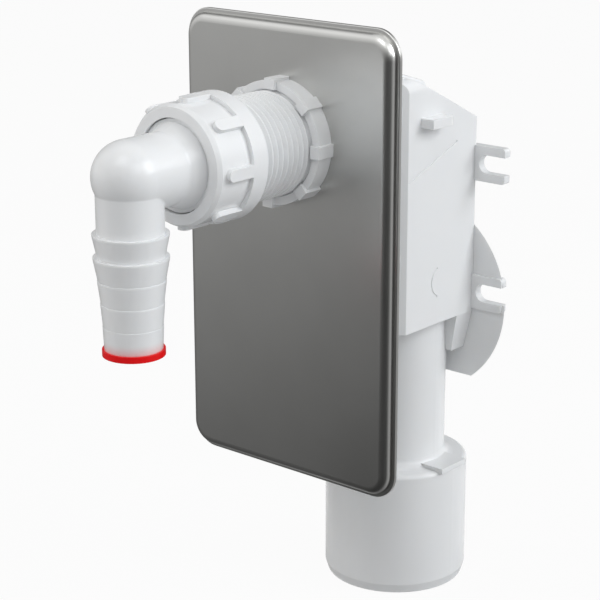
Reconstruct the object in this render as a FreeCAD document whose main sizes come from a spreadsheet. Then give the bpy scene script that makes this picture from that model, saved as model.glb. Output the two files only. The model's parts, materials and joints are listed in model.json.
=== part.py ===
"""In-wall washing machine trap: boxed water seal, outlet spigot, cover plate, union nut and hose elbow.

The origin is the centre of the outlet spigot's lower end. +Z is up and the cover plate faces -Y.
"""
import FreeCAD
import Part
import Sketcher
import math
import os
import re

from FreeCAD import Vector

# Driving dimensions in millimetres, with counts and angles beside them: alias, value, meaning.
SIZES = [
    ("outlet_diameter", "50", "outer diameter of the outlet spigot"),
    ("outlet_wall", "3", "wall of the outlet spigot"),
    ("outlet_length", "44", "height of the flat shoulder above the spigot's end"),
    ("lead_length", "3.2", "length of the lead-in at the spigot's end"),
    ("lead_depth", "1", "radial depth of that lead-in"),
    ("shoulder_round", "1.6", "rounding of the shoulder's outer edge"),
    ("pipe_diameter", "34", "outer diameter of the down pipe"),
    ("pipe_wall", "2.5", "wall of the down pipe"),
    ("tab_reach", "0.5", "reach of a shoulder tab past the spigot"),
    ("tab_length", "14", "length of a shoulder tab, front to back"),
    ("tab_thickness", "1.8", "thickness of a shoulder tab"),
    ("tab_rise", "1.3", "height of a tab's top above the shoulder"),
    ("box_width", "42.5", "outer width of the trap box"),
    ("box_wall", "2.5", "wall of the trap box"),
    ("box_bottom", "97", "height of the box's underside"),
    ("box_top", "182", "height of the box's flat top"),
    ("box_front", "27.5", "distance of the box's front before the outlet axis"),
    ("box_back", "14.3", "distance of the box's back behind the outlet axis"),
    ("box_chamfer", "4.2", "chamfer of the box's front upright edges"),
    ("top_round", "4.5", "rounding of the box's top side edges"),
    ("roof_start", "20", "distance before the outlet axis where the roof starts to fall"),
    ("eaves_height", "165", "height of the roof's back edge"),
    ("crown_width", "33.5", "width of the raised crown on the roof"),
    ("crown_rise", "1.2", "height of the crown over the box's flat top"),
    ("crown_back", "10", "distance before the outlet axis where the crown's top ends"),
    ("crown_lift", "3", "height of the crown over the roof at that place"),
    ("crown_end", "6.4", "distance before the outlet axis where the crown runs out"),
    ("crown_root", "1", "how deep the crown is rooted in the roof"),
    ("crown_round", "0.8", "rounding of the crown's upper side edges"),
    ("heel_depth", "9", "depth of the heel under the box's back"),
    ("heel_foot", "7.4", "depth of the heel's lower end"),
    ("heel_height", "13.7", "height of the heel"),
    ("heel_inset", "3.2", "inset of the heel's lower end on each side"),
    ("catch_reach", "5", "reach of a side catch"),
    ("catch_height", "3.1", "height of a side catch"),
    ("catch_length", "11.2", "length of a side catch, front to back"),
    ("catch_front", "16.8", "distance of a catch's front before the outlet axis"),
    ("catch_level", "165.8", "height of a catch's underside"),
    ("catch_bevel", "1.4", "length of the bevel at a catch's back end"),
    ("catch_bevel_depth", "0.5", "depth of that bevel"),
    ("mark_width", "0.6", "width of the shallow lines on the box's sides"),
    ("mark_depth", "0.25", "depth of those lines"),
    ("crease_front", "23.3", "distance before the outlet axis where the crease starts"),
    ("crease_front_height", "148.7", "height of the crease at its front end"),
    ("crease_back", "3.3", "distance behind the outlet axis where the crease ends"),
    ("crease_back_height", "158.7", "height of the crease at its back end"),
    ("arc_front", "4.2", "distance of the arc line's centre before the outlet axis"),
    ("arc_height", "111.6", "height of the arc line's centre"),
    ("arc_radius", "5.4", "radius of the arc line"),
    ("arc_sweep", "134", "angle of the arc line, in degrees"),
    ("inlet_height", "166", "height of the inlet axis"),
    ("inlet_reach", "100", "distance of the inlet's end before the outlet axis"),
    ("inlet_bore", "26", "bore of the inlet"),
    ("thread_diameter", "33.25", "major diameter of the G 1 pipe thread"),
    ("thread_pitch", "2.309", "pitch of that thread"),
    ("thread_depth", "1.48", "depth of that thread"),
    ("thread_flat", "0.46", "width of the flat between two thread ridges"),
    ("thread_over", "0.37", "how far the flanks of two grooves run on over a ridge before they meet"),
    ("thread_turns", "20", "number of thread ridges"),
    ("thread_lead", "1", "chamfer at the thread's end"),
    ("duct_width", "16", "inner width of the overflow duct"),
    ("duct_depth", "11.3", "inner depth of the overflow duct"),
    ("duct_wall", "2", "wall of the overflow duct"),
    ("weir_height", "150", "height of the duct's top edge, the standing water level"),
    ("baffle_front", "9", "distance of the baffle's front before the outlet axis"),
    ("baffle_thickness", "2", "thickness of the baffle"),
    ("baffle_bottom", "107", "height of the baffle's lower edge"),
    ("fit_gap", "0.2", "clearance of the back cover in the box's open back"),
    ("cover_thickness", "2.5", "thickness of the back cover"),
    ("disc_radius", "34.7", "radius of the back cover's round flange"),
    ("disc_thickness", "1.5", "thickness of the round flange, bevelled to its back"),
    ("disc_height", "100.2", "height of the round flange's centre"),
    ("disc_cut", "73", "height of the round flange's straight lower edge"),
    ("lug_span", "67.2", "width over the tips of the fixing lugs"),
    ("lug_height", "12.2", "height of a fixing lug"),
    ("lug_thickness", "2.3", "thickness of the strap across the back that ends in two lugs"),
    ("lug_proud", "0.8", "how far a lug stands before that strap"),
    ("lug_round", "1.2", "rounding of a lug's corners"),
    ("upper_lug", "149.3", "height of the upper lugs' middle"),
    ("lower_lug", "104.1", "height of the lower lugs' middle"),
    ("slot_width", "6.2", "width of a lug's screw slot"),
    ("slot_depth", "10.5", "depth of a screw slot from the lug's tip"),
    ("pipe_gap", "0.3", "clearance of the back cover round the down pipe"),
    ("plate_width", "86.5", "width of the cover plate"),
    ("plate_height", "150", "height of the cover plate"),
    ("plate_corner", "9", "corner radius of the cover plate"),
    ("plate_step", "1.2", "depth of the plate's outer step"),
    ("plate_rise", "3", "height of the plate's face over that step"),
    ("plate_ledge", "1.3", "width of the step's ledge"),
    ("plate_sheet", "0.8", "sheet thickness of the cover plate"),
    ("rim_round", "0.35", "rounding of the plate's outer edge"),
    ("face_share", "0.95", "share of the face's rise taken by the rounding of its edge"),
    ("plate_back", "56", "distance of the plate's rim before the outlet axis"),
    ("plate_middle", "129", "height of the plate's middle"),
    ("thread_gap", "0.3", "clearance round the thread's crests"),
    ("ring_diameter", "39.2", "diameter of the ring nut"),
    ("ring_turn", "1.5", "how far the ring nut is turned, in degrees"),
    ("ring_thickness", "7.2", "thickness of the ring nut at its lugs"),
    ("ring_lugs", "8", "number of lugs on the ring nut"),
    ("ring_lug_width", "4", "width of a ring nut lug"),
    ("ring_lug_rise", "0.8", "height of a lug over the ring"),
    ("ring_lug_step", "1.2", "step of a lug's front before the ring"),
    ("ring_gap", "0.1", "clearance of the ring nut's bore round the thread's crests"),
    ("ring_countersink", "0.3", "chamfer of the ring nut's bore"),
    ("gasket_thickness", "2", "thickness of the union's flat gasket"),
    ("gasket_margin", "0.6", "how far the gasket stays inside the thread's root"),
    ("seat_gap", "0.3", "clearance on each side of the elbow's flange"),
    ("flange_diameter", "32.2", "diameter of the elbow's flange"),
    ("flange_thickness", "2.7", "thickness of the elbow's flange"),
    ("union_web", "4", "thickness of the union nut's front web"),
    ("union_skirt", "16.7", "length of the union nut behind its web"),
    ("union_bore", "28.8", "bore of the union nut's web"),
    ("barrel_diameter", "37", "diameter of the union nut between its fingers"),
    ("collar_diameter", "39.8", "diameter of the union nut's back collar"),
    ("collar_length", "7.3", "length of that collar"),
    ("collar_bevel", "1.2", "bevel of the collar's back edge"),
    ("rim_diameter", "35.2", "diameter of the union nut's front rim"),
    ("rim_bevel", "1.4", "length of the bevel behind that rim"),
    ("union_turn", "2.4", "how far the union nut is turned, in degrees"),
    ("finger_count", "8", "number of grip fingers"),
    ("finger_width", "3.8", "width of a grip finger"),
    ("finger_span", "40.2", "diameter over the grip fingers"),
    ("finger_end", "1.2", "distance of a finger's tip before the web's seat"),
    ("finger_sink", "0.6", "how deep a finger is rooted in the barrel"),
    ("elbow_reach", "25.2", "distance of the hose axis before the flange's back"),
    ("elbow_collar", "28.2", "diameter of the elbow's collar in the union nut's bore"),
    ("elbow_recess", "1", "depth of that collar behind the union nut's front"),
    ("flare_diameter", "26", "diameter of the elbow's flare at its collar"),
    ("flare_length", "4.3", "length of the flare before the union nut"),
    ("flare_round", "3", "rounding between the flare and the neck"),
    ("neck_diameter", "22.2", "diameter of the elbow's neck"),
    ("neck_bore", "17", "bore of the elbow's neck"),
    ("tube_diameter", "20", "diameter of the elbow's down tube"),
    ("tube_bore", "14.4", "bore of the elbow's down tube"),
    ("crook_round", "1", "rounding of the crease between neck and tube"),
    ("barb_start", "16.5", "distance of the first barb below the inlet axis"),
    ("barb_pitch", "7", "distance from barb to barb"),
    ("barb_lip_one", "22.7", "diameter of the first barb"),
    ("barb_root_one", "20", "diameter at that barb's lower end"),
    ("barb_lip_two", "22.5", "diameter of the second barb"),
    ("barb_root_two", "20", "diameter at that barb's lower end"),
    ("barb_lip_three", "20.3", "diameter of the third barb"),
    ("barb_root_three", "18.6", "diameter at that barb's lower end"),
    ("barb_lip_four", "18.9", "diameter of the fourth barb"),
    ("barb_root_four", "17.8", "diameter at that barb's lower end"),
    ("barb_lip_five", "18", "diameter of the fifth barb"),
    ("barb_root_five", "17.4", "diameter of the barbed end"),
    ("lip_land", "0.5", "flat land of a barb's lip"),
    ("plug_diameter", "18.8", "diameter of the closing plug's rim"),
    ("plug_rim", "1.9", "thickness of that rim"),
    ("plug_stem", "7", "length of the plug's stem in the bore"),
    ("plug_wall", "1.2", "wall of the plug's hollow stem"),
    ("plug_gap", "0.1", "clearance of the stem in the bore"),
]
BARBS = ("one", "two", "three", "four", "five")
ALIASES = {alias for alias, value, meaning in SIZES}
START_RADIUS = 60

doc = FreeCAD.newDocument("washing_machine_trap")
sheet = doc.addObject("Spreadsheet::Sheet", "Sizes")
for row, (alias, value, meaning) in enumerate(SIZES, start=1):
    sheet.set("A%d" % row, meaning)
    sheet.set("B%d" % row, value)
    sheet.setAlias("B%d" % row, alias)
doc.recompute()


def size(alias):
    """A driving dimension as a number, for choosing edges by where they lie."""
    return float(sheet.get(alias))


def expression(text):
    """Name the sheet before each alias in a formula."""
    def named(match):
        word = match.group(0)
        return "Sizes." + word if word in ALIASES else word
    return re.sub(r"[a-z_]+", named, text)


def bind(target, **formulas):
    """Bind properties of an object to formulas; two underscores stand for a dot in a property's path."""
    for path, formula in formulas.items():
        target.setExpression(path.replace("__", "."), expression(formula))


def new_body(label, turn=None, **place):
    """A body whose placement is bound to the sheet; a turn is about its own Y axis."""
    body = doc.addObject("PartDesign::Body", label)
    body.Label = label
    if turn:
        body.Placement.Rotation = FreeCAD.Rotation(Vector(0, 1, 0), 0)
        bind(body, Placement__Rotation__Angle=turn)
    for axis, formula in place.items():
        bind(body, **{"Placement__Base__" + axis: formula})
    return body


def new_sketch(body, name, role, **offset):
    """A sketch on one of the body's own origin planes, moved by formulas along its local axes."""
    sketch = body.newObject("Sketcher::SketchObject", name)
    planes = {plane.Role: plane for plane in body.Origin.OriginFeatures}
    sketch.AttachmentSupport = [(planes[role], "")]
    sketch.MapMode = "FlatFace"
    for axis, formula in offset.items():
        bind(sketch, **{"AttachmentOffset__Base__" + axis: formula})
    return sketch


def fix_point(sketch, geometry, position, across, up, spot):
    """Hold a point of a sketch at a pair of formulas; a zero puts it on the sketch's own axis."""
    for kind, formula, axis, start in (("DistanceX", across, -2, spot.x), ("DistanceY", up, -1, spot.y)):
        if formula == "0":
            sketch.addConstraint(Sketcher.Constraint("PointOnObject", geometry, position, axis))
        else:
            held = Sketcher.Constraint(kind, -1, 1, geometry, position, start)
            index = sketch.addConstraint(held)
            sketch.setExpression("Constraints[%d]" % index, expression(formula))


def polygon(sketch, *corners):
    """A closed outline of straight lines through pairs of formulas."""
    count = len(corners)
    first = sketch.GeometryCount
    turns = [2 * math.pi * (index + 0.3) / count for index in range(count)]
    spots = [Vector(START_RADIUS * math.cos(turn), START_RADIUS * math.sin(turn), 0) for turn in turns]
    lines = [Part.LineSegment(spots[index], spots[(index + 1) % count]) for index in range(count)]
    sketch.addGeometry(lines, False)
    for index in range(count):
        follower = first + (index + 1) % count
        sketch.addConstraint(Sketcher.Constraint("Coincident", first + index, 2, follower, 1))
    for index, (across, up) in enumerate(corners):
        fix_point(sketch, first + index, 1, across, up, spots[index])


def rectangle(sketch, left, right, low, high):
    """An upright rectangle between formulas."""
    polygon(sketch, (left, low), (right, low), (right, high), (left, high))


def circle(sketch, across, up, radius):
    """A circle about a pair of formulas."""
    centre = Vector(START_RADIUS, START_RADIUS, 0)
    geometry = sketch.addGeometry(Part.Circle(centre, Vector(0, 0, 1), START_RADIUS / 4), False)
    fix_point(sketch, geometry, 3, across, up, centre)
    index = sketch.addConstraint(Sketcher.Constraint("Radius", geometry, START_RADIUS / 4))
    sketch.setExpression("Constraints[%d]" % index, expression(radius))


def rounded_rectangle(sketch, width, height, radius):
    """A rectangle with round corners about the sketch's origin, drawn anticlockwise from its lower side."""
    side, bend = START_RADIUS, START_RADIUS / 4
    straights = [
        (Vector(-side, -side - bend, 0), Vector(side, -side - bend, 0)),
        (Vector(side + bend, -side, 0), Vector(side + bend, side, 0)),
        (Vector(side, side + bend, 0), Vector(-side, side + bend, 0)),
        (Vector(-side - bend, side, 0), Vector(-side - bend, -side, 0)),
    ]
    centres = [(side, -side), (side, side), (-side, side), (-side, -side)]
    for quarter, (start, end) in enumerate(straights):
        sketch.addGeometry(Part.LineSegment(start, end), False)
        hub = Part.Circle(Vector(*centres[quarter], 0), Vector(0, 0, 1), bend)
        opening = math.pi * (quarter - 1) / 2
        sketch.addGeometry(Part.ArcOfCircle(hub, opening, opening + math.pi / 2), False)
    count = 8
    for index in range(count):
        sketch.addConstraint(Sketcher.Constraint("Tangent", index, 2, (index + 1) % count, 1))
    for level, upright in ((0, 2), (4, 6)):
        sketch.addConstraint(Sketcher.Constraint("Horizontal", level))
        sketch.addConstraint(Sketcher.Constraint("Vertical", upright))
    for arc in (3, 5, 7):
        sketch.addConstraint(Sketcher.Constraint("Equal", 1, arc))
    sketch.addConstraint(Sketcher.Constraint("Symmetric", 1, 3, 5, 3, -1, 1))
    driven = [
        (Sketcher.Constraint("DistanceX", 6, 1, 2, 1, 2 * (side + bend)), width),
        (Sketcher.Constraint("DistanceY", 0, 1, 4, 1, 2 * (side + bend)), height),
        (Sketcher.Constraint("Radius", 1, bend), radius),
    ]
    for held, formula in driven:
        index = sketch.addConstraint(held)
        sketch.setExpression("Constraints[%d]" % index, expression(formula))


def extrude(body, kind, name, sketch, length, reverse=False):
    """A pad, or a pocket whose volume is checked so that it truly cuts."""
    before = body.Shape.Volume if body.Tip else 0
    feature = body.newObject("PartDesign::" + kind, name)
    feature.Profile = sketch
    feature.Reversed = reverse
    bind(feature, Length=length)
    doc.recompute()
    grown = body.Shape.Volume - before
    if (grown <= 0) == (kind == "Pad"):
        raise ValueError("%s changes nothing" % name)
    return feature


def revolve(body, kind, name, sketch, axis, angle=None):
    """A revolution, or a groove whose volume is checked, about one of the sketch's own axes."""
    before = body.Shape.Volume if body.Tip else 0
    feature = body.newObject("PartDesign::" + kind, name)
    feature.Profile = sketch
    feature.ReferenceAxis = (sketch, [axis])
    if angle:
        feature.Midplane = True
        bind(feature, Angle=angle)
    else:
        feature.Angle = 360
    doc.recompute()
    grown = body.Shape.Volume - before
    if (grown <= 0) == (kind == "Revolution"):
        raise ValueError("%s changes nothing" % name)
    return feature


def near(first, second):
    return abs(first - second) < 1e-4


def dress(body, kind, name, formula, wanted):
    """A fillet or chamfer on every edge of the body's tip for which the test holds."""
    base = body.Tip
    names = ["Edge%d" % number for number, edge in enumerate(base.Shape.Edges, start=1) if wanted(edge)]
    feature = body.newObject("PartDesign::" + kind, name)
    feature.Base = (base, names)
    bind(feature, **{"Radius" if kind == "Fillet" else "Size": formula})
    doc.recompute()
    return feature


def lies_at(edge, axis, place):
    """Whether the whole edge lies in the plane where an axis has one value."""
    low = getattr(edge.BoundBox, axis.upper() + "Min")
    high = getattr(edge.BoundBox, axis.upper() + "Max")
    return abs(low - place) < 1e-3 and abs(high - place) < 1e-3


def around(body, name, feature, axis, count):
    """Repeat a feature round one of the body's own axes."""
    pattern = body.newObject("PartDesign::PolarPattern", name)
    pattern.Originals = [feature]
    axes = {item.Role: item for item in body.Origin.OriginFeatures}
    pattern.Axis = (axes[axis], [""])
    pattern.Angle = 360
    bind(pattern, Occurrences=count)
    body.Tip = pattern
    doc.recompute()
    return pattern


def mirror(body, name, *features):
    """Repeat features on the other side of the body's middle plane."""
    planes = {plane.Role: plane for plane in body.Origin.OriginFeatures}
    feature = body.newObject("PartDesign::Mirrored", name)
    feature.Originals = list(features)
    feature.MirrorPlane = (planes["YZ_Plane"], [""])
    body.Tip = feature
    doc.recompute()
    return feature


HALF_BOX = "box_width / 2"
CHAMBER_HALF = "box_width / 2 - box_wall"
OUTLET_RADIUS = "outlet_diameter / 2"
PIPE_RADIUS = "pipe_diameter / 2"
THREAD_RADIUS = "thread_diameter / 2"
CHAMBER_FLOOR = "box_bottom + box_wall"
PLATE_DEPTH = "plate_step + plate_rise"
FACE_ROUND = "face_share * plate_rise"


def make_box(body):
    """The boxed water chamber, open at the back, with its hanging baffle, its heel and its side catches."""
    side = new_sketch(body, "box_side", "YZ_Plane", z="-box_width / 2")
    polygon(
        side,
        ("-box_front", "box_bottom"),
        ("box_back", "box_bottom"),
        ("box_back", "eaves_height"),
        ("-roof_start", "box_top"),
        ("-box_front", "box_top"),
    )
    extrude(body, "Pad", "box_pad", side, "box_width")
    half = size("box_width") / 2
    dress(body, "Chamfer", "front_edges", "box_chamfer",
          lambda edge: lies_at(edge, "y", -size("box_front")) and near(edge.BoundBox.XLength, 0))
    dress(body, "Fillet", "top_edges", "top_round",
          lambda edge: lies_at(edge, "z", size("box_top")) and near(abs(edge.CenterOfMass.x), half))
    chamber = new_sketch(body, "chamber_side", "YZ_Plane", z="-(%s)" % CHAMBER_HALF)
    polygon(
        chamber,
        ("-box_front + box_wall", CHAMBER_FLOOR),
        ("box_back + box_wall", CHAMBER_FLOOR),
        ("box_back + box_wall", "eaves_height - box_wall"),
        ("box_back", "eaves_height - box_wall"),
        ("-roof_start", "box_top - box_wall"),
        ("-box_front + box_wall", "box_top - box_wall"),
    )
    extrude(body, "Pocket", "chamber", chamber, "box_width - 2 * box_wall", reverse=True)
    inside_front = size("box_wall") - size("box_front")
    dress(body, "Chamfer", "chamber_edges", "box_chamfer / 2",
          lambda edge: lies_at(edge, "y", inside_front) and near(edge.BoundBox.XLength, 0))
    baffle = new_sketch(body, "baffle_side", "YZ_Plane", z="-(%s)" % CHAMBER_HALF)
    fall = "(box_top - eaves_height) / (box_back + roof_start)"
    roof = "eaves_height - box_wall / 2 + (box_back + (%s)) * " + fall
    polygon(
        baffle,
        ("-baffle_front", "baffle_bottom"),
        ("baffle_thickness - baffle_front", "baffle_bottom"),
        ("baffle_thickness - baffle_front", roof % "baffle_front - baffle_thickness"),
        ("-baffle_front", roof % "baffle_front"),
    )
    extrude(body, "Pad", "baffle", baffle, "box_width - 2 * box_wall")
    crown = new_sketch(body, "crown_side", "YZ_Plane", z="-crown_width / 2")
    slope = "box_top - (roof_start - %s) * " + fall
    polygon(
        crown,
        ("-box_front", "box_top - crown_root"),
        ("-roof_start", "box_top - crown_root"),
        ("-crown_end", slope % "crown_end" + " - crown_root"),
        ("-crown_end", slope % "crown_end"),
        ("-crown_back", slope % "crown_back" + " + crown_lift"),
        ("-roof_start", "box_top + crown_rise"),
        ("-box_front", "box_top + crown_rise"),
    )
    extrude(body, "Pad", "crown", crown, "crown_width")
    dress(body, "Fillet", "crown_edges", "crown_round", is_crown_edge)
    heel_top = new_sketch(body, "heel_top", "XY_Plane", z="box_bottom")
    rectangle(heel_top, "-box_width / 2", HALF_BOX, "box_back - heel_depth", "box_back")
    heel_foot = new_sketch(body, "heel_foot", "XY_Plane", z="box_bottom - heel_height")
    rectangle(heel_foot, "heel_inset - box_width / 2", "box_width / 2 - heel_inset",
              "box_back - heel_foot", "box_back")
    heel = body.newObject("PartDesign::AdditiveLoft", "heel")
    heel.Profile = heel_top
    heel.Sections = [heel_foot]
    heel.Ruled = True
    doc.recompute()
    catches = new_sketch(body, "catches", "XY_Plane", z="catch_level")
    for sign in ("", "-"):
        polygon(
            catches,
            (sign + "(box_width / 2)", "-catch_front"),
            (sign + "(box_width / 2 + catch_reach)", "-catch_front"),
            (sign + "(box_width / 2 + catch_reach)", "catch_length - catch_front - catch_bevel"),
            (sign + "(box_width / 2 + catch_reach - catch_bevel_depth)", "catch_length - catch_front"),
            (sign + "(box_width / 2)", "catch_length - catch_front"),
        )
    extrude(body, "Pad", "side_catches", catches, "catch_height")


def is_crown_edge(edge):
    """Whether the edge runs along one side of the crown's top, level at first and then down with the roof."""
    fall = (size("box_top") - size("eaves_height")) / (size("box_back") + size("roof_start"))
    lift = size("crown_lift") - size("crown_rise")
    slope = lift / (size("roof_start") - size("crown_back")) - fall
    middle = edge.CenterOfMass
    behind = max(middle.y + size("roof_start"), 0)
    top = size("box_top") + size("crown_rise") + behind * slope
    return near(abs(middle.x), size("crown_width") / 2) and near(middle.z, top)


def make_outlet(body):
    """The down pipe, the outlet spigot under it and the two tabs on its shoulder."""
    outside = new_sketch(body, "outlet_outside", "XZ_Plane")
    polygon(
        outside,
        ("0", "0"),
        ("outlet_diameter / 2 - lead_depth", "0"),
        (OUTLET_RADIUS, "lead_length"),
        (OUTLET_RADIUS, "outlet_length"),
        (PIPE_RADIUS, "outlet_length"),
        (PIPE_RADIUS, "box_bottom"),
        ("0", "box_bottom"),
    )
    revolve(body, "Revolution", "outlet", outside, "V_Axis")
    radius = size("outlet_diameter") / 2
    dress(body, "Fillet", "shoulder", "shoulder_round",
          lambda edge: lies_at(edge, "z", size("outlet_length")) and near(edge.BoundBox.XMax, radius))
    pipe = size("pipe_diameter") / 2
    dress(body, "Fillet", "pipe_root", "(outlet_diameter / 2 - pipe_diameter / 2 - shoulder_round) / 2",
          lambda edge: lies_at(edge, "z", size("outlet_length")) and near(edge.BoundBox.XMax, pipe))
    tabs = new_sketch(body, "tabs", "XY_Plane", z="outlet_length + tab_rise - tab_thickness")
    for sign in ("", "-"):
        polygon(
            tabs,
            (sign + "(pipe_diameter / 2 - pipe_wall / 2)", "-tab_length / 2"),
            (sign + "(outlet_diameter / 2 + tab_reach)", "-tab_length / 2"),
            (sign + "(outlet_diameter / 2 + tab_reach)", "tab_length / 2"),
            (sign + "(pipe_diameter / 2 - pipe_wall / 2)", "tab_length / 2"),
        )
    extrude(body, "Pad", "shoulder_tabs", tabs, "tab_thickness")
    inside = new_sketch(body, "outlet_inside", "XZ_Plane")
    polygon(
        inside,
        ("0", "-outlet_wall"),
        ("outlet_diameter / 2 - outlet_wall", "-outlet_wall"),
        ("outlet_diameter / 2 - outlet_wall", "outlet_length - outlet_wall"),
        ("pipe_diameter / 2 - pipe_wall", "outlet_length - outlet_wall"),
        ("pipe_diameter / 2 - pipe_wall", "box_bottom"),
        ("0", "box_bottom"),
    )
    revolve(body, "Groove", "outlet_bore", inside, "V_Axis")
    drain = new_sketch(body, "drain", "XY_Plane", z=CHAMBER_FLOOR)
    rectangle(drain, "-duct_width / 2", "duct_width / 2",
              "box_back - duct_depth", "box_back - cover_thickness")
    extrude(body, "Pocket", "drain_opening", drain, "2 * box_wall")


def make_inlet(body):
    """The threaded inlet before the box and its bore."""
    outside = new_sketch(body, "inlet_outside", "YZ_Plane", y="inlet_height")
    polygon(
        outside,
        ("-inlet_reach", "0"),
        ("-box_front", "0"),
        ("-box_front", THREAD_RADIUS),
        ("thread_lead - inlet_reach", THREAD_RADIUS),
        ("-inlet_reach", "thread_diameter / 2 - thread_lead"),
    )
    revolve(body, "Revolution", "inlet", outside, "H_Axis")
    groove = new_sketch(body, "thread_groove", "YZ_Plane", y="inlet_height")
    polygon(
        groove,
        ("thread_pitch - inlet_reach", "thread_diameter / 2 + thread_over"),
        ("2 * thread_pitch - inlet_reach", "thread_diameter / 2 + thread_over"),
        ("1.5 * thread_pitch + thread_flat / 2 - inlet_reach", "thread_diameter / 2 - thread_depth"),
        ("1.5 * thread_pitch - thread_flat / 2 - inlet_reach", "thread_diameter / 2 - thread_depth"),
    )
    first = revolve(body, "Groove", "thread_first", groove, "H_Axis")
    thread = body.newObject("PartDesign::LinearPattern", "thread")
    thread.Originals = [first]
    axes = {item.Role: item for item in body.Origin.OriginFeatures}
    thread.Direction = (axes["Y_Axis"], [""])
    bind(thread, Length="(thread_turns - 1) * thread_pitch", Occurrences="thread_turns")
    body.Tip = thread
    doc.recompute()
    bore = new_sketch(body, "inlet_inside", "YZ_Plane", y="inlet_height")
    polygon(
        bore,
        ("-inlet_reach - box_wall", "0"),
        ("2 * box_wall - box_front", "0"),
        ("2 * box_wall - box_front", "inlet_bore / 2"),
        ("-inlet_reach - box_wall", "inlet_bore / 2"),
    )
    revolve(body, "Groove", "inlet_bore_cut", bore, "H_Axis")


def make_marks(body):
    """The shallow crease and the short arc line on each side of the box."""
    crease = new_sketch(body, "crease", "YZ_Plane", z=HALF_BOX)
    polygon(
        crease,
        ("-crease_front", "crease_front_height"),
        ("crease_back", "crease_back_height"),
        ("crease_back", "crease_back_height - mark_width"),
        ("-crease_front", "crease_front_height - mark_width"),
    )
    crease_cut = extrude(body, "Pocket", "crease_cut", crease, "mark_depth")
    arc = new_sketch(body, "arc", "XY_Plane", z="arc_height", y="-arc_front")
    rectangle(arc, "box_width / 2 - mark_depth", "box_width / 2 + mark_depth",
              "-arc_radius - mark_width / 2", "mark_width / 2 - arc_radius")
    arc_cut = revolve(body, "Groove", "arc_cut", arc, "H_Axis", angle="arc_sweep")
    mirror(body, "marks", crease_cut, arc_cut)


def make_trap_body():
    body = new_body("trap_body")
    make_box(body)
    make_outlet(body)
    make_inlet(body)
    make_marks(body)
    return body


def make_back_cover():
    """The welded back: a lid in the box's open back, a round flange, two slotted straps and the duct."""
    body = new_body("back_cover", y="box_back")
    lid_face = new_sketch(body, "lid_face", "XZ_Plane")
    rectangle(lid_face, "fit_gap + box_wall - box_width / 2", "box_width / 2 - box_wall - fit_gap",
              CHAMBER_FLOOR, "eaves_height - box_wall - fit_gap")
    extrude(body, "Pad", "lid", lid_face, "cover_thickness")
    levels = ("upper_lug", "lower_lug")
    sides = ("", "-")
    straps = new_sketch(body, "strap_faces", "XZ_Plane")
    lugs = new_sketch(body, "lug_faces", "XZ_Plane", z="lug_proud")
    for level in levels:
        low = level + " - lug_height / 2"
        high = level + " + lug_height / 2"
        rectangle(straps, "-box_width / 2", HALF_BOX, low, high)
        for sign in sides:
            rectangle(lugs, sign + "(box_width / 2)", sign + "(lug_span / 2)", low, high)
    extrude(body, "Pad", "straps", straps, "lug_thickness", reverse=True)
    extrude(body, "Pad", "lugs", lugs, "lug_thickness + lug_proud", reverse=True)
    tip = size("lug_span") / 2
    dress(body, "Fillet", "lug_corners", "lug_round",
          lambda edge: near(edge.BoundBox.XLength + edge.BoundBox.ZLength, 0)
          and near(abs(edge.CenterOfMass.x), tip))
    disc = body.newObject("PartDesign::AdditiveCone", "flange")
    disc.Placement.Rotation = FreeCAD.Rotation(Vector(1, 0, 0), -90)
    bind(disc, Radius1="disc_radius", Radius2="disc_radius - disc_thickness", Height="disc_thickness",
         Placement__Base__z="disc_height")
    doc.recompute()
    foot = new_sketch(body, "flange_foot", "XZ_Plane")
    rectangle(foot, "-disc_radius", "disc_radius", "disc_height - disc_radius - disc_thickness", "disc_cut")
    extrude(body, "Pocket", "flange_cut", foot, "2 * disc_thickness")
    slots = new_sketch(body, "slot_faces", "XZ_Plane", z="2 * lug_proud")
    ends = new_sketch(body, "slot_ends", "XZ_Plane", z="2 * lug_proud")
    for level in levels:
        for sign in sides:
            middle = sign + "(lug_span / 2 - slot_depth + slot_width / 2)"
            rectangle(slots, middle, sign + "(lug_span / 2 + slot_width)",
                      level + " - slot_width / 2", level + " + slot_width / 2")
            circle(ends, middle, level, "slot_width / 2")
    through = "lug_thickness + 3 * lug_proud"
    extrude(body, "Pocket", "slots", slots, through)
    extrude(body, "Pocket", "slot_rounds", ends, through)
    notch = body.newObject("PartDesign::SubtractiveCylinder", "pipe_notch")
    bind(notch, Radius="pipe_diameter / 2 + pipe_gap", Height="box_bottom - disc_cut + cover_thickness",
         Placement__Base__y="-box_back", Placement__Base__z="disc_cut - cover_thickness")
    doc.recompute()
    duct = new_sketch(body, "duct_plan", "XY_Plane", z=CHAMBER_FLOOR)
    polygon(
        duct,
        ("-duct_width / 2 - duct_wall", "-cover_thickness"),
        ("-duct_width / 2 - duct_wall", "-duct_depth - duct_wall"),
        ("duct_width / 2 + duct_wall", "-duct_depth - duct_wall"),
        ("duct_width / 2 + duct_wall", "-cover_thickness"),
        ("duct_width / 2", "-cover_thickness"),
        ("duct_width / 2", "-duct_depth"),
        ("-duct_width / 2", "-duct_depth"),
        ("-duct_width / 2", "-cover_thickness"),
    )
    extrude(body, "Pad", "duct", duct, "weir_height - (%s)" % CHAMBER_FLOOR)
    return body


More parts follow.
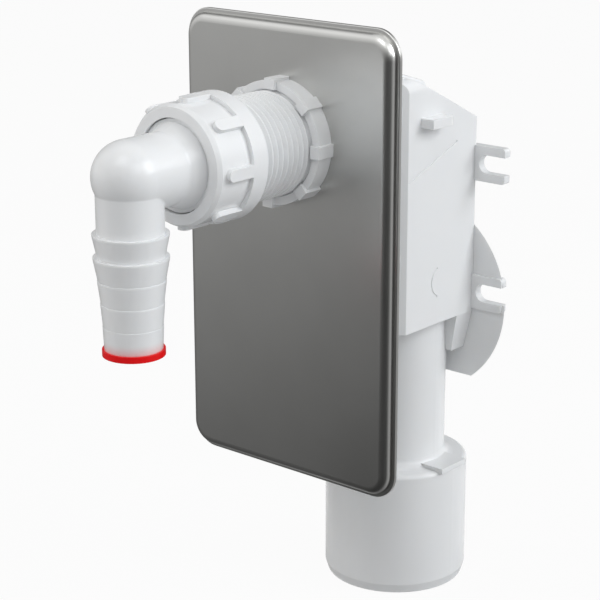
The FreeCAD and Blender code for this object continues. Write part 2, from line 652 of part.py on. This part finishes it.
def make_cover_plate():
    """The pressed steel cover plate: a stepped rim, a flat face and the hole for the inlet."""
    body = new_body("cover_plate", y="-plate_back", z="plate_middle")
    rim = new_sketch(body, "rim_outline", "XZ_Plane")
    rounded_rectangle(rim, "plate_width", "plate_height", "plate_corner")
    extrude(body, "Pad", "rim", rim, "plate_step")
    dress(body, "Fillet", "rim_edge", "rim_round", lambda edge: lies_at(edge, "y", -size("plate_step")))
    face = new_sketch(body, "face_outline", "XZ_Plane")
    rounded_rectangle(face, "plate_width - 2 * plate_ledge", "plate_height - 2 * plate_ledge",
                      "plate_corner - plate_ledge")
    extrude(body, "Pad", "face", face, PLATE_DEPTH)
    front = -size("plate_step") - size("plate_rise")
    dress(body, "Fillet", "face_edge", FACE_ROUND, lambda edge: lies_at(edge, "y", front))
    rim_back = new_sketch(body, "rim_hollow", "XZ_Plane")
    rounded_rectangle(rim_back, "plate_width - 2 * plate_sheet", "plate_height - 2 * plate_sheet",
                      "plate_corner - plate_sheet")
    extrude(body, "Pocket", "rim_pocket", rim_back, "plate_step - plate_sheet", reverse=True)
    hollows = (
        ("wall_hollow", "plate_ledge + plate_sheet", PLATE_DEPTH + " - " + FACE_ROUND),
        ("face_hollow", "plate_ledge + " + FACE_ROUND, PLATE_DEPTH + " - plate_sheet"),
    )
    for name, inset, depth in hollows:
        hollow = new_sketch(body, name, "XZ_Plane")
        rounded_rectangle(hollow, "plate_width - 2 * (%s)" % inset, "plate_height - 2 * (%s)" % inset,
                          "plate_corner - (%s)" % inset)
        extrude(body, "Pocket", name + "_cut", hollow, depth, reverse=True)
    hole = new_sketch(body, "inlet_hole", "XZ_Plane")
    circle(hole, "0", "inlet_height - plate_middle", "thread_diameter / 2 + thread_gap")
    extrude(body, "Pocket", "hole", hole, "2 * (%s)" % PLATE_DEPTH, reverse=True)
    return body


def make_ring_nut():
    """The lugged ring nut that clamps the cover plate on the inlet thread."""
    body = new_body("ring_nut", turn="ring_turn",
                    y="-plate_back - plate_step - plate_rise", z="inlet_height")
    ring = new_sketch(body, "ring_profile", "YZ_Plane")
    bore = "thread_diameter / 2 + ring_gap"
    front = "ring_lug_step - ring_thickness"
    polygon(
        ring,
        ("0", bore),
        ("0", "ring_diameter / 2"),
        (front, "ring_diameter / 2"),
        (front, bore + " + ring_countersink"),
        (front + " + ring_countersink", bore),
    )
    revolve(body, "Revolution", "ring", ring, "H_Axis")
    lug = new_sketch(body, "lug_face", "XZ_Plane")
    rectangle(lug, "-ring_lug_width / 2", "ring_lug_width / 2", bore + " + ring_countersink",
              "ring_diameter / 2 + ring_lug_rise")
    first = extrude(body, "Pad", "lug", lug, "ring_thickness")
    around(body, "lugs", first, "Y_Axis", "ring_lugs")
    return body


SEAT = "-inlet_reach - gasket_thickness"


def make_union_gasket():
    """The flat gasket between the inlet's end and the elbow's flange."""
    body = new_body("union_gasket", y="-inlet_reach", z="inlet_height")
    washer = new_sketch(body, "washer_profile", "YZ_Plane")
    rectangle(washer, "-gasket_thickness", "0", "inlet_bore / 2",
              "thread_diameter / 2 - thread_depth + gasket_margin")
    revolve(body, "Revolution", "washer", washer, "H_Axis")
    return body


def make_union_nut():
    """The union nut: a threaded skirt with grip fingers between a back collar and a front rim."""
    body = new_body("union_nut", turn="union_turn",
                    y=SEAT + " - flange_thickness - 2 * seat_gap", z="inlet_height")
    profile = new_sketch(body, "nut_profile", "YZ_Plane")
    thread = "thread_diameter / 2 + thread_gap"
    polygon(
        profile,
        ("-union_web", "union_bore / 2"),
        ("0", "union_bore / 2"),
        ("0", thread),
        ("union_skirt", thread),
        ("union_skirt", "collar_diameter / 2 - collar_bevel"),
        ("union_skirt - collar_bevel", "collar_diameter / 2"),
        ("union_skirt - collar_length", "collar_diameter / 2"),
        ("union_skirt - collar_length", "barrel_diameter / 2"),
        ("rim_bevel - union_web", "barrel_diameter / 2"),
        ("-union_web", "rim_diameter / 2"),
    )
    revolve(body, "Revolution", "nut", profile, "H_Axis")
    plan = new_sketch(body, "finger_plan", "XY_Plane", z="barrel_diameter / 2 - finger_sink")
    rectangle(plan, "-finger_width / 2", "finger_width / 2", "finger_width / 2 - finger_end",
              "union_skirt - collar_length")
    rise = "(finger_span - barrel_diameter) / 2 + finger_sink"
    finger = extrude(body, "Pad", "finger", plan, rise)
    tip_plan = new_sketch(body, "tip_plan", "XY_Plane", z="barrel_diameter / 2 - finger_sink")
    circle(tip_plan, "0", "finger_width / 2 - finger_end", "finger_width / 2")
    tip = extrude(body, "Pad", "finger_tip", tip_plan, rise)
    pattern = around(body, "fingers", finger, "Y_Axis", "finger_count")
    pattern.Originals = [finger, tip]
    doc.recompute()
    return body


def make_hose_elbow():
    """The hose elbow: flange, flared neck, domed bend and a barbed tube, bored through."""
    body = new_body("hose_elbow", y=SEAT + " - seat_gap", z="inlet_height")
    flare = ("flange_thickness", "seat_gap", "union_web", "flare_length")
    collar = "elbow_recess - flange_thickness - seat_gap - union_web"
    outside = new_sketch(body, "neck_profile", "YZ_Plane")
    polygon(
        outside,
        ("0", "0"),
        ("0", "flange_diameter / 2"),
        ("-flange_thickness", "flange_diameter / 2"),
        ("-flange_thickness", "elbow_collar / 2"),
        (collar, "elbow_collar / 2"),
        (collar, "flare_diameter / 2"),
        ("-(%s)" % " + ".join(flare), "neck_diameter / 2"),
        ("-elbow_reach", "neck_diameter / 2"),
        ("-elbow_reach", "0"),
    )
    revolve(body, "Revolution", "neck", outside, "H_Axis")
    flare_end = -sum(size(alias) for alias in flare)
    dress(body, "Fillet", "flare_edge", "flare_round", lambda edge: lies_at(edge, "y", flare_end))
    dome = body.newObject("PartDesign::AdditiveSphere", "dome")
    bind(dome, Radius="neck_diameter / 2", Placement__Base__y="-elbow_reach")
    doc.recompute()
    tube = new_sketch(body, "tube_profile", "YZ_Plane", x="-elbow_reach")
    corners = [("0", "0"), ("tube_diameter / 2", "0")]
    level = "tube_diameter / 2"
    for index, barb in enumerate(BARBS):
        top = "-barb_start - %d * barb_pitch" % index
        lip = "barb_lip_%s / 2" % barb
        corners += [(level, top), (lip, top), (lip, top + " - lip_land")]
        level = "barb_root_%s / 2" % barb
    end = "-barb_start - %d * barb_pitch" % len(BARBS)
    corners += [(level, end), ("0", end)]
    polygon(tube, *corners)
    revolve(body, "Revolution", "barbed_tube", tube, "V_Axis")
    reach = size("elbow_reach")
    tube_radius = size("tube_diameter") / 2
    dress(body, "Fillet", "crook", "crook_round", lambda edge: is_crease(edge, reach, tube_radius))
    down = new_sketch(body, "tube_inside", "YZ_Plane", x="-elbow_reach")
    rectangle(down, "0", "tube_bore / 2", end + " - barb_pitch", "0")
    revolve(body, "Groove", "tube_bore_cut", down, "V_Axis")
    along = new_sketch(body, "neck_inside", "YZ_Plane")
    rectangle(along, "-elbow_reach", "flange_thickness", "0", "neck_bore / 2")
    revolve(body, "Groove", "neck_bore_cut", along, "H_Axis")
    bend = body.newObject("PartDesign::SubtractiveSphere", "bend_bore")
    bind(bend, Radius="neck_bore / 2", Placement__Base__y="-elbow_reach")
    doc.recompute()
    return body


def is_crease(edge, reach, radius):
    """Whether the edge runs round the down tube's surface at varying height, where it leaves the neck."""
    if edge.BoundBox.ZLength < 1e-3:
        return False
    points = edge.discretize(5)
    return all(abs(math.hypot(point.x, point.y + reach) - radius) < 1e-3 for point in points) and \
        edge.BoundBox.XLength + edge.BoundBox.YLength > 1e-3


def make_barb_plug():
    """The push-in plug that closes the hose tail: a rim and a hollow stem."""
    drop = "barb_start + %d * barb_pitch" % len(BARBS)
    body = new_body("barb_plug", y=SEAT + " - seat_gap - elbow_reach", z="inlet_height - (%s)" % drop)
    profile = new_sketch(body, "plug_profile", "YZ_Plane")
    stem = "tube_bore / 2 - plug_gap"
    polygon(
        profile,
        ("0", "-plug_rim"),
        ("plug_diameter / 2", "-plug_rim"),
        ("plug_diameter / 2", "0"),
        (stem, "0"),
        (stem, "plug_stem"),
        (stem + " - plug_wall", "plug_stem"),
        (stem + " - plug_wall", "0"),
        ("0", "0"),
    )
    revolve(body, "Revolution", "plug", profile, "V_Axis")
    return body


MAKERS = (
    make_trap_body,
    make_back_cover,
    make_cover_plate,
    make_ring_nut,
    make_union_gasket,
    make_union_nut,
    make_hose_elbow,
    make_barb_plug,
)
bodies = [maker() for maker in MAKERS]
doc.recompute()

for item in doc.Objects:
    if "Invalid" in item.State or "Error" in item.State:
        raise ValueError("%s failed: %s" % (item.Name, item.State))
for body in bodies:
    if body.Shape.isNull() or not body.Shape.isValid() or len(body.Shape.Solids) != 1:
        raise ValueError("%s is not one valid solid" % body.Label)

os.makedirs("parts", exist_ok=True)
for body in bodies:
    body.Shape.exportStep("parts/%s.step" % body.Label)
    box = body.Shape.BoundBox
    print("%s: %.1f x %.1f x %.1f mm, %.2f cm3" % (
        body.Label, box.XLength, box.YLength, box.ZLength, body.Shape.Volume / 1000))
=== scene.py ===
import json
import math

import bpy
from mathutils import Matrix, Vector


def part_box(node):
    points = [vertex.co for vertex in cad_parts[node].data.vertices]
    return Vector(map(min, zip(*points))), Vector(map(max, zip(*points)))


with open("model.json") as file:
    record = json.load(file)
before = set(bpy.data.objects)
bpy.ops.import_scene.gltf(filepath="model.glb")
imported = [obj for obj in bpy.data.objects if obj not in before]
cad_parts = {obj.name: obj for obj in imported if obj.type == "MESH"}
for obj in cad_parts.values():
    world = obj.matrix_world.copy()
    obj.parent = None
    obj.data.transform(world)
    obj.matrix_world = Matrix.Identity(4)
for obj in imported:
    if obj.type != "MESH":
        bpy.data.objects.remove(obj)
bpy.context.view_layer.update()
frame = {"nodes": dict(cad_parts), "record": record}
scene = bpy.context.scene
scene.view_settings.view_transform = "Standard"

# Lengths are in metres unless a comment says millimetres, and angles are in degrees.
# An azimuth is counted from the front of the plate (-Y) and rises to the right (+X).
MM = 0.001
WHITE = (1, 1, 1, 1)

# The photograph's camera: lengths in millimetres, shifts in picture widths.
CAMERA_AZIMUTH = 40.206
CAMERA_ELEVATION = 16.803
CAMERA_DISTANCE = 591.9
CAMERA_TARGET = (8.32, -56.0, 114.55)
CAMERA_LENS = 111.0
CAMERA_SENSOR = 36.0
CAMERA_SHIFT = (-0.0205, -0.0012)
CAMERA_NEAR = 10.0

# Square lamps that face one point. Power is in watts, and a mirrored lamp is seen in reflections.
LAMP_AIM = (0.0, -0.05, 0.11)
LAMPS = {
    "back_right": {"azimuth": 116, "elevation": 30, "distance": 1.3, "side": 0.7, "power": 8.1,
                   "colour": (0.96, 0.98, 1.0), "mirrored": True},
    "right": {"azimuth": 75, "elevation": 35, "distance": 1.3, "side": 0.7, "power": 2.4,
              "colour": (0.97, 0.99, 1.0), "mirrored": True},
    "front_left": {"azimuth": -52, "elevation": 25, "distance": 1.3, "side": 0.9, "power": 5.4,
                   "colour": (1.0, 0.99, 0.97), "mirrored": False},
    "front_top": {"azimuth": 10, "elevation": 58, "distance": 1.2, "side": 0.6, "power": 2.2,
                  "colour": (1.0, 1.0, 1.0), "mirrored": True},
}
WORLD_LIGHT = 0.42

# The floor lies just under the outlet's end. Its glow is the share of plain white that the camera sees.
FLOOR_SIDE = 6.0
FLOOR_DROP = 0.0006
FLOOR_GLOW = 0.95

# The dark round room that only reflections see.
ROOM_MIDDLE_X = 0.0
ROOM_MIDDLE_Y = -0.06
ROOM_RADIUS = 2.0
ROOM_HEIGHT = 2.0
ROOM_LIFT = 0.001
ROOM_TURNS = 72
ROOM_STEPS = 120

# How bright the room is at lengths along its floor (0 to 2), wall (2 to 4) and ceiling (4 to 6).
GLOW_BACK = ((0, 0.10), (0.1, 0.9), (2, 0.9), (2.3, 0.30), (4.4, 0.25), (4.8, 1.0), (6, 1.0))
GLOW_FRONT_RIGHT = ((0, 0.04), (2, 0.05), (2.3, 0.08), (3, 0.6), (4, 1.0), (6, 1.0))
GLOW_HIGH_FRONT = ((2.7, 0.85), (3.2, 0.95), (3.6, 1.2), (4.2, 1.2), (4.8, 1.0), (6, 1.0))
# The glow at some azimuths, straight between them. In the flat of the plate the photograph's camera sees
# the floor near azimuth -40.
ROOM_GLOW = (
    (-180, GLOW_BACK),
    (-140, ((0, 0.10), (0.1, 0.9), (2, 0.9), (2.3, 0.20), (4.5, 0.15), (5, 1.0), (6, 1.0))),
    (-105, ((0, 0.08), (2, 0.22), (4.5, 0.15), (5, 1.0), (6, 1.0))),
    (-80, ((0, 0.07), (0.5, 0.20), (2, 0.5), (2.4, 0.9), (3.3, 0.9), (3.7, 1.2), (4.2, 1.2), (4.8, 1.0),
           (6, 1.0))),
    (-44, ((0, 0.085), (0.15, 0.15), (0.3, 0.235), (0.6, 0.38), (1.1, 0.51), (2, 0.68), (2.3, 0.78),
           *GLOW_HIGH_FRONT)),
    (-15, ((0, 0.05), (0.15, 0.06), (0.3, 0.08), (0.6, 0.12), (1.1, 0.15), (2, 0.21), (2.3, 0.55),
           *GLOW_HIGH_FRONT)),
    (15, GLOW_FRONT_RIGHT),
    (75, GLOW_FRONT_RIGHT),
    (100, ((0, 0.06), (0.1, 0.46), (2, 0.5), (2.3, 0.6), (3, 1.0), (6, 1.0))),
    (140, ((0, 0.06), (0.1, 0.28), (2, 0.3), (2.3, 0.6), (3, 1.0), (6, 1.0))),
    (165, ((0, 0.10), (0.1, 1.0), (2, 1.0), (6, 1.0))),
    (180, GLOW_BACK),
)

# Each material's colour wanders between two shades.
WHITE_SHADES = ((0.820, 0.830, 0.840), (0.828, 0.838, 0.848))
STEEL_SHADES = ((0.58, 0.58, 0.565), (0.62, 0.62, 0.605))
RED_SHADES = ((0.78, 0.003, 0.005), (0.84, 0.006, 0.008))
RUBBER_SHADES = ((0.03, 0.03, 0.03), (0.05, 0.05, 0.05))
FLOOR_SHADES = ((0.47, 0.47, 0.47), (0.51, 0.51, 0.51))
# The steel grain's cells in a metre along X, Y and Z: fine across, long upright.
STEEL_GRAIN = (2600, 2600, 90)

# The plug's red stem shows faintly through the last millimetres of the hose tail, as a painted red glow
# in the tail's colour.
PAINTED_STEM_RED_COLOUR = (0.80, 0.10, 0.09, 1)
PAINTED_STEM_RED_SHARE = 0.3
PAINTED_STEM_RED_REACH = 3.5 * MM

# The radii by which moulded and pressed edges look rounded.
MOULDED_EDGE = 0.2 * MM
PRESSED_EDGE = 0.1 * MM
EDGE_SAMPLES = 6

# Most of a noise's values lie between these two.
NOISE_LOW = 0.3
NOISE_HIGH = 0.7

# Where Blender's Mix node keeps its sockets for colours.
MIX_FACTOR = 0
MIX_FIRST = 6
MIX_SECOND = 7
MIX_RESULT = 2


def direction(azimuth, elevation):
    """The unit vector towards an azimuth and an elevation."""
    turn, rise = math.radians(azimuth), math.radians(elevation)
    return Vector((math.sin(turn) * math.cos(rise), -math.cos(turn) * math.cos(rise), math.sin(rise)))


def link(obj):
    """Put an object in the scene."""
    scene.collection.objects.link(obj)
    return obj


def look(obj, place, aim):
    """Put a camera or a lamp at a place, facing a point."""
    obj.location = place
    obj.rotation_euler = (Vector(aim) - Vector(place)).to_track_quat("-Z", "Y").to_euler()


def add_camera():
    """The camera at the photograph's angle."""
    data = bpy.data.cameras.new("camera")
    data.sensor_width = CAMERA_SENSOR
    data.lens = CAMERA_LENS
    data.shift_x, data.shift_y = CAMERA_SHIFT
    data.clip_start = CAMERA_NEAR * MM
    camera = link(bpy.data.objects.new("camera", data))
    target = Vector(CAMERA_TARGET) * MM
    look(camera, target + direction(CAMERA_AZIMUTH, CAMERA_ELEVATION) * CAMERA_DISTANCE * MM, target)
    scene.camera = camera


class Shader:
    """A node tree, with short ways to add nodes and links."""

    def __init__(self, owner, output):
        owner.use_nodes = True
        self.tree = owner.node_tree
        self.tree.nodes.clear()
        self.output = self.node(output)

    def node(self, kind, **settings):
        """A new node with its settings."""
        made = self.tree.nodes.new("ShaderNode" + kind)
        for name, value in settings.items():
            setattr(made, name, value)
        return made

    def join(self, value, socket):
        """Set a socket to a value, or link another node's socket to it."""
        if isinstance(value, bpy.types.NodeSocket):
            self.tree.links.new(value, socket)
        else:
            socket.default_value = value

    def put(self, node, **values):
        """Join values to a node's sockets by name, with underscores for spaces."""
        for name, value in values.items():
            self.join(value, node.inputs[name.replace("_", " ")])
        return node

    def fill(self, node, *values):
        """Join values to a node's first sockets in their order."""
        for socket, value in zip(node.inputs, values):
            self.join(value, socket)
        return node

    def math(self, operation, first, second):
        """One value worked out from two."""
        return self.fill(self.node("Math", operation=operation), first, second).outputs["Value"]

    def mix(self, share, first, second):
        """A share of the second surface over the first."""
        return self.fill(self.node("MixShader"), share, first, second).outputs["Shader"]

    def metres(self):
        """The place on the object, in its own metres."""
        return self.node("TexCoord").outputs["Object"]

    def noise(self, scale, detail=3.0, stretch=None):
        """Noise with so many cells in a metre; stretch scales the axes apart."""
        place = self.metres()
        if stretch:
            place = self.put(self.node("Mapping"), Vector=place, Scale=stretch).outputs["Vector"]
        return self.put(self.node("TexNoise"), Vector=place, Scale=scale, Detail=detail).outputs["Fac"]

    def spread(self, value, low, high, start=0.0, end=1.0):
        """Low where a value is at its start, high where it is at its end, and smooth between them."""
        made = self.node("MapRange", interpolation_type="SMOOTHSTEP")
        self.put(made, Value=value, From_Min=start, From_Max=end, To_Min=low, To_Max=high)
        return made.outputs["Result"]

    def tint(self, noise, shades):
        """A colour that a noise moves between two shades."""
        ramp = self.node("ValToRGB")
        for element, place, shade in zip(ramp.color_ramp.elements, (NOISE_LOW, NOISE_HIGH), shades):
            element.position = place
            element.color = (*shade, 1)
        return self.put(ramp, Fac=noise).outputs["Color"]

    def blend(self, share, first, second):
        """A share of the second colour over the first."""
        made = self.node("Mix", data_type="RGBA")
        for index, value in ((MIX_FACTOR, share), (MIX_FIRST, first), (MIX_SECOND, second)):
            self.join(value, made.inputs[index])
        return made.outputs[MIX_RESULT]

    def relief(self, height, strength, depth, edge):
        """Fine relief over edges that look rounded by a radius."""
        soft = self.put(self.node("Bevel", samples=EDGE_SAMPLES), Radius=edge)
        bump = self.node("Bump")
        self.put(bump, Height=height, Strength=strength, Distance=depth, Normal=soft.outputs["Normal"])
        return bump.outputs["Normal"]

    def white_light(self, kind, strength):
        """Even white light, as an Emission or a Background."""
        return self.put(self.node(kind), Color=WHITE, Strength=strength).outputs[kind]

    def seen(self):
        """1 for rays from the camera, from gloss and through glass."""
        path = self.node("LightPath")
        first = self.math("MAXIMUM", path.outputs["Is Camera Ray"], path.outputs["Is Glossy Ray"])
        return self.math("MAXIMUM", first, path.outputs["Is Transmission Ray"])

    def finish(self, surface):
        """Send a surface or a background to the output."""
        self.join(surface, self.output.inputs["Surface"])


def new_material(name):
    """An empty material and its shader."""
    material = bpy.data.materials.new(name)
    return material, Shader(material, "OutputMaterial")


def make_white_plastic(name, tail_end=None):
    """Satin white polypropylene, a little translucent. A hose tail gets a faint painted red glow at its
    end, where the stem shows through.
    """
    material, shader = new_material(name)
    colour = shader.tint(shader.noise(scale=45, detail=4), WHITE_SHADES)
    if tail_end is not None:
        # Painted glow: the colour turns faintly red at the tail's end, for the red stem seen through the
        # wall.
        height = shader.put(shader.node("SeparateXYZ"), Vector=shader.metres()).outputs["Z"]
        share = shader.spread(height, low=PAINTED_STEM_RED_SHARE, high=0.0, start=tail_end, end=tail_end + PAINTED_STEM_RED_REACH)
        colour = shader.blend(share, colour, PAINTED_STEM_RED_COLOUR)
    grit = shader.noise(scale=2600, detail=2)
    surface = shader.put(
        shader.node("BsdfPrincipled", subsurface_method="RANDOM_WALK"),
        Base_Color=colour,
        Roughness=shader.spread(shader.noise(scale=220, detail=5), low=0.22, high=0.27),
        IOR=1.49,
        Subsurface_Weight=0.3,
        Subsurface_Radius=(1.0, 0.95, 0.9),
        Subsurface_Scale=1.0 * MM,
        Normal=shader.relief(grit, strength=0.02, depth=0.05 * MM, edge=MOULDED_EDGE),
    )
    shader.finish(surface.outputs["BSDF"])
    return material


def make_steel():
    """Satin stainless sheet with a fine upright grain."""
    material, shader = new_material("satin_stainless_steel")
    grain = shader.noise(scale=1, stretch=STEEL_GRAIN)
    surface = shader.put(
        shader.node("BsdfPrincipled"),
        Base_Color=shader.tint(shader.noise(scale=30, detail=4), STEEL_SHADES),
        Metallic=1.0,
        Roughness=shader.spread(grain, low=0.27, high=0.33),
        Normal=shader.relief(grain, strength=0.05, depth=0.02 * MM, edge=PRESSED_EDGE),
    )
    shader.finish(surface.outputs["BSDF"])
    return material


def make_red_plastic():
    """The plug's red plastic, smooth but not glossy."""
    material, shader = new_material("red_plastic")
    grit = shader.noise(scale=3000)
    surface = shader.put(
        shader.node("BsdfPrincipled"),
        Base_Color=shader.tint(shader.noise(scale=120, detail=4), RED_SHADES),
        Roughness=shader.spread(shader.noise(scale=400, detail=4), low=0.24, high=0.36),
        Specular_IOR_Level=0.2,
        Normal=shader.relief(grit, strength=0.06, depth=0.04 * MM, edge=MOULDED_EDGE),
    )
    shader.finish(surface.outputs["BSDF"])
    return material


def make_rubber():
    """The gasket's dull black rubber."""
    material, shader = new_material("black_rubber")
    cloud = shader.noise(scale=300, detail=5)
    grit = shader.noise(scale=2500)
    surface = shader.put(
        shader.node("BsdfPrincipled"),
        Base_Color=shader.tint(cloud, RUBBER_SHADES),
        Roughness=shader.spread(cloud, low=0.6, high=0.8),
        Normal=shader.relief(grit, strength=0.15, depth=0.05 * MM, edge=MOULDED_EDGE),
    )
    shader.finish(surface.outputs["BSDF"])
    return material


def dress_nodes():
    """Give every node the material of its slot."""
    materials = {
        "white_plastic": make_white_plastic("white_polypropylene"),
        "steel": make_steel(),
        "red_plastic": make_red_plastic(),
        "rubber": make_rubber(),
    }
    # The hose elbow's copy has the stem's red glow painted at its tail end.
    tail = make_white_plastic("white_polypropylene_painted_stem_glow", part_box("hose_elbow")[0].z)
    for part in frame["record"]["subparts"]:
        name, slot = part["node"], part["material_slot"]
        node = frame["nodes"][name]
        node.data.materials.clear()
        node.data.materials.append(tail if name == "hose_elbow" else materials[slot])


def add_stage(name, corners, faces, material):
    """A piece of the studio, which is no part of the object."""
    mesh = bpy.data.meshes.new(name)
    mesh.from_pydata(corners, [], faces)
    mesh.materials.append(material)
    made = link(bpy.data.objects.new(name, mesh))
    return made


def make_floor_paint():
    """A pale floor, white to the camera but for a soft shadow."""
    material, shader = new_material("pale_floor")
    colour = shader.tint(shader.noise(scale=20), FLOOR_SHADES)
    lit = shader.put(shader.node("BsdfDiffuse"), Color=colour).outputs["BSDF"]
    white = shader.white_light("Emission", strength=1.0)
    shader.finish(shader.mix(shader.math("MULTIPLY", shader.seen(), FLOOR_GLOW), lit, white))
    return material


def add_floor():
    """One square face under the object."""
    half = FLOOR_SIDE / 2
    square = ((-half, -half), (half, -half), (half, half), (-half, half))
    corners = [(x, y, -FLOOR_DROP) for x, y in square]
    add_stage("floor", corners, [(0, 1, 2, 3)], make_floor_paint())


def add_world():
    """Even light from all round, in front of a white background."""
    world = bpy.data.worlds.new("studio")
    scene.world = world
    shader = Shader(world, "OutputWorld")
    lit = shader.white_light("Background", strength=WORLD_LIGHT)
    white = shader.white_light("Background", strength=1.0)
    shader.finish(shader.mix(shader.seen(), lit, white))


def between(table, place):
    """Read a table of rising places and values, straight between its rows."""
    for (start, low), (end, high) in zip(table, table[1:]):
        if place <= end:
            return low + (high - low) * (place - start) / (end - start)
    return table[-1][1]


def room_place(along):
    """The radius and height at a length along the room's floor, wall and ceiling."""
    wall = min(max(along - ROOM_RADIUS, 0), ROOM_HEIGHT)
    ceiling = max(along - ROOM_RADIUS - ROOM_HEIGHT, 0)
    return min(along, ROOM_RADIUS) - ceiling, ROOM_LIFT + wall


def room_shape():
    """The room's corners, the glow at each corner, and its faces."""
    corners, glow, faces = [], [], []
    length = 2 * ROOM_RADIUS + ROOM_HEIGHT
    for turn in range(ROOM_TURNS + 1):
        azimuth = 360 * turn / ROOM_TURNS - 180
        side = direction(azimuth, 0)
        for step in range(ROOM_STEPS + 1):
            along = length * step / ROOM_STEPS
            radius, height = room_place(along)
            corners.append((ROOM_MIDDLE_X + radius * side.x, ROOM_MIDDLE_Y + radius * side.y, height))
            glow.append(between([(key, between(row, along)) for key, row in ROOM_GLOW], azimuth))
    for turn in range(ROOM_TURNS):
        for step in range(ROOM_STEPS):
            first = turn * (ROOM_STEPS + 1) + step
            beside = first + ROOM_STEPS + 1
            faces.append((first, first + 1, beside + 1, beside))
    return corners, glow, faces


def make_room_glow():
    """Light as strong as the glow that each corner of the room holds."""
    material, shader = new_material("dark_room")
    strength = shader.node("Attribute", attribute_name="glow").outputs["Fac"]
    shader.finish(shader.white_light("Emission", strength=strength))
    return material


def add_room():
    """A dark round room that only reflections see, so that the steel has something to show."""
    corners, glow, faces = room_shape()
    room = add_stage("room", corners, faces, make_room_glow())
    room.data.attributes.new("glow", "FLOAT", "POINT").data.foreach_set("value", glow)
    room.visible_camera = room.visible_diffuse = room.visible_shadow = room.visible_transmission = False


def add_lamps():
    """The soft lamps round the object."""
    for name, row in LAMPS.items():
        data = bpy.data.lights.new(name, "AREA")
        data.shape = "SQUARE"
        data.size = row["side"]
        data.energy = row["power"]
        data.color = row["colour"]
        lamp = link(bpy.data.objects.new(name, data))
        lamp.visible_glossy = row["mirrored"]
        offset = direction(row["azimuth"], row["elevation"]) * row["distance"]
        look(lamp, Vector(LAMP_AIM) + offset, LAMP_AIM)


add_camera()
dress_nodes()
add_floor()
add_world()
add_room()
add_lamps()
